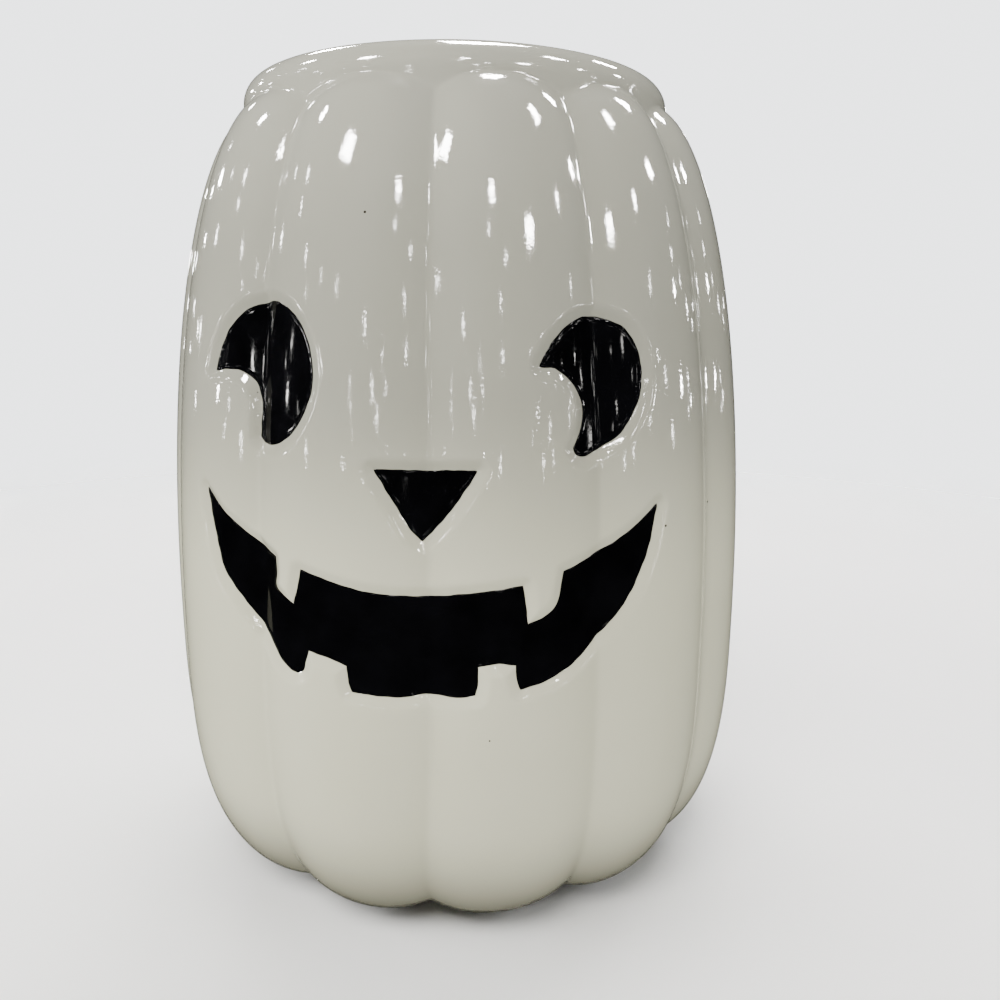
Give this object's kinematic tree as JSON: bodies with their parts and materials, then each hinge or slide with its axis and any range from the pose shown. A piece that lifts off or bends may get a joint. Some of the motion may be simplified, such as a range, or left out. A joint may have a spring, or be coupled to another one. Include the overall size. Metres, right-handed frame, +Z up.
{
  "type": "pumpkin garden stool",
  "caption": "Tall ribbed pumpkin-shaped ceramic stool, hollow and open at the foot, with a plain flat-topped collar and a sunk, black-glazed jack-o'-lantern face.",
  "frame": {"origin": "on the floor, under the middle of the stool", "axes": "+Z up along the stool's axis; the face looks toward -Y; +X is to the right of someone looking at the face"},
  "size_m": [0.3458, 0.3444, 0.457],
  "materials": {
    "white_glaze": "gloss white glaze over pale clay",
    "black_glaze": "gloss black glaze",
    "pad_rubber": "matt"
  },
  "bodies": {
    "root": {"ceramic_body": "white_glaze", "left_eye_glaze": "black_glaze", "right_eye_glaze": "black_glaze", "nose_glaze": "black_glaze", "mouth_glaze": "black_glaze", "foot_pad_1": "pad_rubber", "foot_pad_2": "pad_rubber", "foot_pad_3": "pad_rubber", "foot_pad_4": "pad_rubber"}
  },
  "joints": []
}
